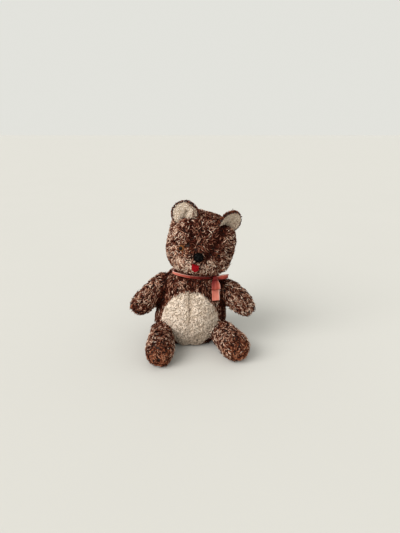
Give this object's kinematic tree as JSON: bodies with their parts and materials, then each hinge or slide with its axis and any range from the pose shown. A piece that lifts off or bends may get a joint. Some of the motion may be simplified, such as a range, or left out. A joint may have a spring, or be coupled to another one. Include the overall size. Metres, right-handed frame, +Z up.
{
  "type": "teddy bear",
  "caption": "Small seated soft toy bear in frosted brown plush, with cream belly and ear linings, felt tongue and a ribbon tied in a bow at the neck.",
  "frame": {"origin": "on the floor, at the bottom centre of the bounding box", "axes": "+Z up, the bear faces -Y, its own left side is +X"},
  "size_m": [0.1452, 0.118, 0.1688],
  "materials": {
    "plush": "frosted pile plush, worn and matted",
    "fleece": "short curly fleece, a little dingy",
    "filling": "loose fibre",
    "eye": "moulded, polished",
    "nose": "flocked",
    "felt": "felt",
    "satin": "satin",
    "washer": "moulded"
  },
  "bodies": {
    "root": {"arm_left_back": "plush", "arm_left_filling": "filling", "arm_left_front": "plush", "arm_right_back": "plush", "arm_right_filling": "filling", "arm_right_front": "plush", "back_left": "plush", "back_right": "plush", "belly_left": "fleece", "belly_right": "fleece", "body_filling": "filling", "chest_left": "plush", "chest_right": "plush", "ear_left_back": "plush", "ear_left_lining": "fleece", "ear_right_back": "plush", "ear_right_lining": "fleece", "eye_left": "eye", "eye_left_washer": "washer", "eye_right": "eye", "eye_right_washer": "washer", "head_filling": "filling", "head_gusset": "plush", "head_side_left": "plush", "head_side_right": "plush", "leg_left_filling": "filling", "leg_left_inner": "plush", "leg_left_outer": "plush", "leg_left_sole": "plush", "leg_right_filling": "filling", "leg_right_inner": "plush", "leg_right_outer": "plush", "leg_right_sole": "plush", "nose": "nose", "nose_washer": "washer", "ribbon": "satin", "tongue": "felt"}
  },
  "joints": []
}
